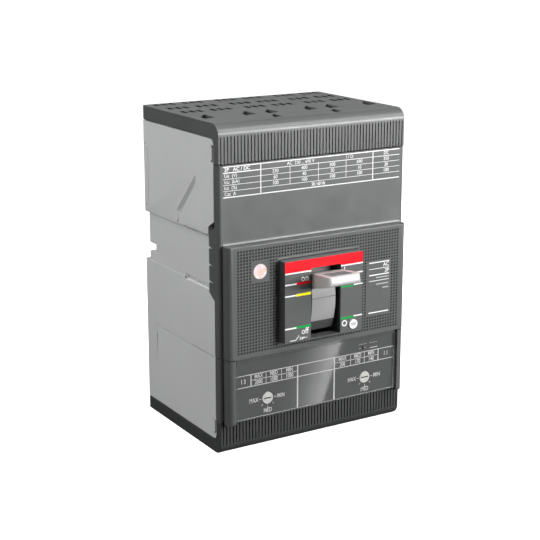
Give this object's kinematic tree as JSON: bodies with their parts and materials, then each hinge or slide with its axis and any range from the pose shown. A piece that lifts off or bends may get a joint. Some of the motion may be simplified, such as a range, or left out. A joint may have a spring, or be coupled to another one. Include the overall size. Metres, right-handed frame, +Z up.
{
  "type": "molded case circuit breaker",
  "caption": "Three-pole molded case circuit breaker with a toggle handle, plug-in thermal-magnetic trip unit, test button, adjusting dials and ribbed terminal covers.",
  "frame": {"origin": "centre of the rear mounting face, halfway up the case", "axes": "+X to the right of the front, +Y out of the rear face, +Z up towards the line terminals; the front and its handle face -Y"},
  "size_m": [0.105, 0.1045, 0.16],
  "materials": {
    "case_light_grey": "matte moulded",
    "cover_dark_grey": "satin moulded",
    "clear_window": "clear polished",
    "handle_grey": "satin moulded",
    "black_plastic": "matte moulded",
    "white_plastic": "satin moulded",
    "plated_steel": "zinc plated",
    "spring_steel": "bright wire",
    "silvered_copper": "silver plated copper",
    "braid_copper": "bare copper",
    "arc_chute_fibre": "raw fibre and steel"
  },
  "bodies": {
    "case": {"rear_base": "case_light_grey", "trip_unit_housing": "case_light_grey", "mid_cover": "cover_dark_grey", "front_cover": "cover_dark_grey", "toggle_escutcheon": "cover_dark_grey", "top_terminal_cover": "cover_dark_grey", "bottom_terminal_cover": "cover_dark_grey", "trip_unit_cover": "cover_dark_grey", "trip_unit_label_plate": "cover_dark_grey", "lever_pivot_pin": "plated_steel", "mechanism_frame_left": "plated_steel", "mechanism_frame_right": "plated_steel", "cradle": "plated_steel", "cradle_pin": "plated_steel", "latch_plate": "plated_steel", "cover_screw_left": "plated_steel", "cover_screw_right": "plated_steel", "bimetal_left": "plated_steel", "bimetal_middle": "plated_steel", "bimetal_right": "plated_steel", "line_terminal_screw_left": "plated_steel", "line_terminal_screw_middle": "plated_steel", "line_terminal_screw_right": "plated_steel", "load_terminal_screw_left": "plated_steel", "load_terminal_screw_middle": "plated_steel", "load_terminal_screw_right": "plated_steel", "test_button_spring": "spring_steel", "line_terminal_left": "silvered_copper", "line_terminal_middle": "silvered_copper", "line_terminal_right": "silvered_copper", "load_terminal_left": "silvered_copper", "load_terminal_middle": "silvered_copper", "load_terminal_right": "silvered_copper", "flexible_braid_left": "braid_copper", "flexible_braid_middle": "braid_copper", "flexible_braid_right": "braid_copper", "arc_chute_left": "arc_chute_fibre", "arc_chute_middle": "arc_chute_fibre", "arc_chute_right": "arc_chute_fibre"},
    "handle": {"toggle_lever": "handle_grey", "slot_shield": "black_plastic", "lever_yoke": "plated_steel", "main_spring_left": "spring_steel", "main_spring_right": "spring_steel"},
    "upper_toggle": {"upper_link": "plated_steel", "knee_pin": "plated_steel"},
    "lower_toggle": {"lower_link": "plated_steel"},
    "contact_bar": {"contact_shaft": "black_plastic", "moving_contact_left": "silvered_copper", "moving_contact_middle": "silvered_copper", "moving_contact_right": "silvered_copper"},
    "test_button": {"test_button": "white_plastic"},
    "trip_bar": {"trip_bar": "black_plastic"},
    "dial_left": {"dial_left": "white_plastic"},
    "dial_right": {"dial_right": "white_plastic"},
    "window": {"trip_unit_window": "clear_window"},
    "armature_left": {"armature_left": "plated_steel"},
    "armature_middle": {"armature_middle": "plated_steel"},
    "armature_right": {"armature_right": "plated_steel"}
  },
  "joints": [
    {"name": "handle_turn", "type": "hinge", "parent": "case", "child": "handle", "pos_m": [0, -0.0465, -0.008], "axis": [1, 0, 0], "range_deg": [0, 28], "deforming": ["main_spring_left", "main_spring_right"]},
    {"name": "contact_bar_turn", "type": "hinge", "parent": "case", "child": "contact_bar", "pos_m": [0, -0.022, -0.016], "axis": [1, 0, 0], "range_deg": [0, 32.2], "deforming": ["flexible_braid_left", "flexible_braid_middle", "flexible_braid_right"]},
    {"name": "upper_toggle_turn", "type": "hinge", "parent": "case", "child": "upper_toggle", "pos_m": [0, -0.057, 0.002], "axis": [1, 0, 0], "range_deg": [0, 12.7]},
    {"name": "lower_toggle_turn", "type": "hinge", "parent": "upper_toggle", "child": "lower_toggle", "pos_m": [0, -0.042, 0.003], "axis": [1, 0, 0], "range_deg": [-50, 0]},
    {"name": "test_button_press", "type": "slide", "parent": "case", "child": "test_button", "axis": [0, 1, 0], "range_m": [0, 0.0025], "stiffness_N_per_m": 400, "deforming": ["test_button_spring"]},
    {"name": "trip_bar_turn", "type": "hinge", "parent": "case", "child": "trip_bar", "pos_m": [0, -0.056, -0.038], "axis": [1, 0, 0], "range_deg": [-8, 0]},
    {"name": "dial_left_turn", "type": "hinge", "parent": "case", "child": "dial_left", "pos_m": [-0.0285, -0.0805, -0.054], "axis": [0, -1, 0], "range_deg": [0, 180]},
    {"name": "dial_right_turn", "type": "hinge", "parent": "case", "child": "dial_right", "pos_m": [0.0285, -0.0805, -0.054], "axis": [0, -1, 0], "range_deg": [0, 180]},
    {"name": "window_turn", "type": "hinge", "parent": "case", "child": "window", "pos_m": [0, -0.0814, -0.0622], "axis": [1, 0, 0], "range_deg": [0, 100]},
    {"name": "armature_left_turn", "type": "hinge", "parent": "case", "child": "armature_left", "pos_m": [-0.035, -0.0392, -0.0455], "axis": [1, 0, 0], "range_deg": [-8, 0], "stiffness_Nm_per_rad": 0.02},
    {"name": "armature_middle_turn", "type": "hinge", "parent": "case", "child": "armature_middle", "pos_m": [0, -0.0392, -0.0455], "axis": [1, 0, 0], "range_deg": [-8, 0], "stiffness_Nm_per_rad": 0.02},
    {"name": "armature_right_turn", "type": "hinge", "parent": "case", "child": "armature_right", "pos_m": [0.035, -0.0392, -0.0455], "axis": [1, 0, 0], "range_deg": [-8, 0], "stiffness_Nm_per_rad": 0.02}
  ],
  "couplings": [
    {"joint": "contact_bar_turn", "follows": "handle_turn", "ratio": 1.15},
    {"joint": "upper_toggle_turn", "follows": "handle_turn", "ratio": 0.4535},
    {"joint": "lower_toggle_turn", "follows": "handle_turn", "ratio": -1.7857},
    {"joint": "trip_bar_turn", "follows": "test_button_press", "rad_per_m": -55.8}
  ]
}
